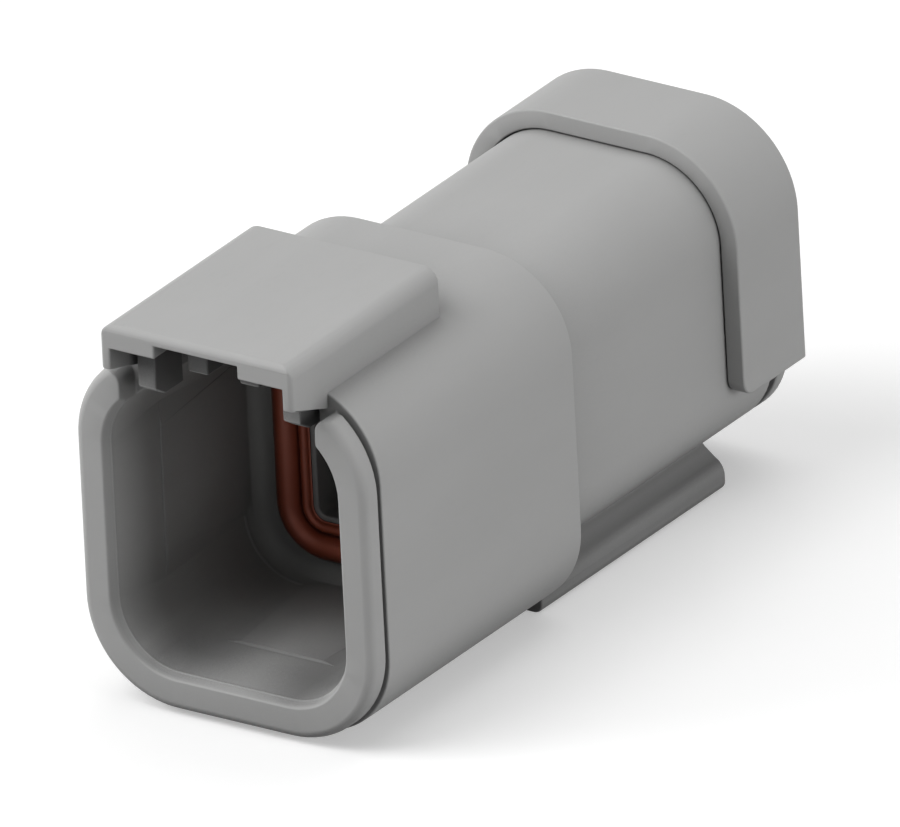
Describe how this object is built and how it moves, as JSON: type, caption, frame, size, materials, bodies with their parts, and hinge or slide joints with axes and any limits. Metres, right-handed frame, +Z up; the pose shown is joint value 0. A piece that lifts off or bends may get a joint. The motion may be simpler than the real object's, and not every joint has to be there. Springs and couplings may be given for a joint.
{
  "type": "sealed automotive connector",
  "caption": "Rectangular sealed connector receptacle with a latch box over its mouth, a ring seal, recessed pin contacts, a clip rail and a clasping rear cap.",
  "frame": {"origin": "centre of the mating mouth, in the plane of the front rim", "axes": "+X to the right seen from the front, +Y back along the plug's way towards the wires, +Z up towards the latch box"},
  "size_m": [0.021, 0.0505, 0.0265],
  "materials": {
    "housing_plastic": "satin moulded",
    "silicone": "satin",
    "lock_plastic": "semi-gloss moulded",
    "contact_metal": "nickel plated"
  },
  "bodies": {
    "root": {"receptacle_housing": "housing_plastic", "interface_seal": "silicone", "secondary_lock": "lock_plastic", "upper_contact": "contact_metal", "lower_contact": "contact_metal", "wire_seal": "silicone", "rear_end_cap": "housing_plastic"}
  },
  "joints": []
}
